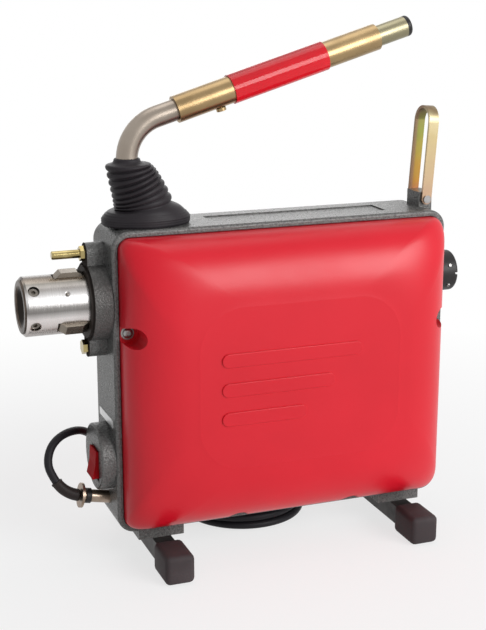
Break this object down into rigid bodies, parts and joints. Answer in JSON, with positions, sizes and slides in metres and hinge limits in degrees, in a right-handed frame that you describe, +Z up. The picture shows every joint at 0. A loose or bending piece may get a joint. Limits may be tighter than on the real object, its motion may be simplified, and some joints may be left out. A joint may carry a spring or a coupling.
{
  "type": "drain cleaning machine",
  "caption": "Sectional drain cleaning machine: cast ring frame with domed covers, belt-driven hollow spindle, jaw chuck closed by a pull lever, latch strap, switch and mains lead.",
  "frame": {"origin": "on the floor under the middle of the machine, halfway between the chuck's mouth and the end of the hose coupling, in the mid plane of the casting", "axes": "+X along the spindle from the chuck to the hose coupling, -Y out of the front cover, +Z up"},
  "size_m": [0.4704, 0.2537, 0.541],
  "materials": {
    "hammer_paint": "hammer finish grey paint",
    "cover_red": "satin gloss red",
    "bright_steel": "turned and ground",
    "dark_steel": "blackened",
    "gold_zinc": "yellow zinc plate",
    "nickel_tube": "satin nickel plate",
    "rubber_black": "matt",
    "black_plastic": "matt",
    "grey_plastic": "matt",
    "grip_red": "gloss",
    "rocker_red": "gloss",
    "cord_black": "satin",
    "plate_silver": "bare",
    "motor_iron": "as cast",
    "motor_alloy": "as cast",
    "gland_bronze": "nickel plate over brass"
  },
  "bodies": {
    "frame": {"main_casting": "hammer_paint", "front_cover": "cover_red", "rear_cover": "cover_red", "cover_screws": "bright_steel", "front_bearing_housing": "hammer_paint", "flange_bolt": "gold_zinc", "guide_stud": "gold_zinc", "front_bearing": "bright_steel", "rear_bearing": "bright_steel", "spindle_seal": "black_plastic", "return_spring": "bright_steel", "lever_pivot_pin": "bright_steel", "lever_boot": "rubber_black", "drive_belt": "rubber_black", "motor_housing": "motor_iron", "motor_fan_end": "motor_alloy", "motor_drive_end": "motor_alloy", "motor_saddle": "motor_alloy", "run_capacitor": "motor_alloy", "coupling_washer": "grey_plastic", "hose_coupling": "black_plastic", "switch_frame": "black_plastic", "switch_module": "black_plastic", "rating_plate": "plate_silver", "cable_gland": "gland_bronze", "gland_ring": "black_plastic", "gland_nut": "gland_bronze", "bend_sleeve": "rubber_black", "latch_pin": "bright_steel", "cord_lead": "cord_black", "cord_coil": "cord_black", "coil_tie": "black_plastic", "mains_plug": "black_plastic", "plug_pins": "bright_steel", "foot_bars": "dark_steel", "foot_caps": "rubber_black", "foot_bolts": "bright_steel"},
    "spindle": {"hollow_spindle": "bright_steel", "spindle_pulley": "motor_alloy", "chuck_body": "bright_steel", "chuck_collar": "dark_steel", "chuck_screws": "bright_steel", "chuck_pins": "bright_steel"},
    "motor_rotor": {"motor_rotor": "motor_iron", "motor_fan": "black_plastic", "motor_pulley": "motor_alloy"},
    "lever": {"lever_fork": "dark_steel", "lever_tube": "nickel_tube", "grip_tube": "gold_zinc", "grip_sleeve": "grip_red", "grip_screw": "gold_zinc", "lever_end_cap": "black_plastic"},
    "thrust_ring": {"thrust_ring": "bright_steel", "push_pins": "bright_steel"},
    "pressure_sleeve": {"pressure_sleeve": "bright_steel"},
    "jaw_1": {"jaw_1": "dark_steel"},
    "jaw_2": {"jaw_2": "dark_steel"},
    "jaw_3": {"jaw_3": "dark_steel"},
    "latch_strap": {"latch_strap": "gold_zinc"},
    "switch_rocker": {"switch_rocker": "rocker_red"}
  },
  "joints": [
    {"name": "spindle_turn", "type": "hinge", "parent": "frame", "child": "spindle", "pos_m": [0.02825, 0, 0.2705], "axis": [1, 0, 0], "continuous": true},
    {"name": "rotor_turn", "type": "hinge", "parent": "frame", "child": "motor_rotor", "pos_m": [0.02825, 0, 0.128], "axis": [1, 0, 0], "continuous": true},
    {"name": "lever_pull", "type": "hinge", "parent": "frame", "child": "lever", "pos_m": [-0.09935, 0, 0.3185], "axis": [0, 1, 0], "range_deg": [0, 12], "stiffness_Nm_per_rad": 30, "springref_deg": -8.59, "deforming": ["lever_boot"]},
    {"name": "ring_slide", "type": "slide", "parent": "frame", "child": "thrust_ring", "axis": [-1, 0, 0], "range_m": [0, 0.0102], "deforming": ["return_spring"]},
    {"name": "sleeve_slide", "type": "slide", "parent": "spindle", "child": "pressure_sleeve", "axis": [-1, 0, 0], "range_m": [0, 0.0102]},
    {"name": "jaw_1_slide", "type": "slide", "parent": "spindle", "child": "jaw_1", "axis": [0, 0.1392, -0.9903], "range_m": [0, 0.0066]},
    {"name": "jaw_2_slide", "type": "slide", "parent": "spindle", "child": "jaw_2", "axis": [0, 0.788, 0.6157], "range_m": [0, 0.0066]},
    {"name": "jaw_3_slide", "type": "slide", "parent": "spindle", "child": "jaw_3", "axis": [0, -0.9272, 0.3746], "range_m": [0, 0.0066]},
    {"name": "strap_swing", "type": "hinge", "parent": "frame", "child": "latch_strap", "pos_m": [0.19625, 0, 0.3527], "axis": [0, 1, 0], "range_deg": [-94, 86]},
    {"name": "rocker_tilt", "type": "hinge", "parent": "frame", "child": "switch_rocker", "pos_m": [-0.16125, -0.007, 0.1036], "axis": [0, -1, 0], "range_deg": [0, 16]}
  ],
  "couplings": [
    {"joint": "rotor_turn", "follows": "spindle_turn", "ratio": 2.9126},
    {"joint": "ring_slide", "follows": "lever_pull", "m_per_rad": 0.048176},
    {"joint": "sleeve_slide", "follows": "lever_pull", "m_per_rad": 0.048176},
    {"joint": "jaw_1_slide", "follows": "lever_pull", "m_per_rad": 0.031314},
    {"joint": "jaw_2_slide", "follows": "lever_pull", "m_per_rad": 0.031314},
    {"joint": "jaw_3_slide", "follows": "lever_pull", "m_per_rad": 0.031314}
  ]
}
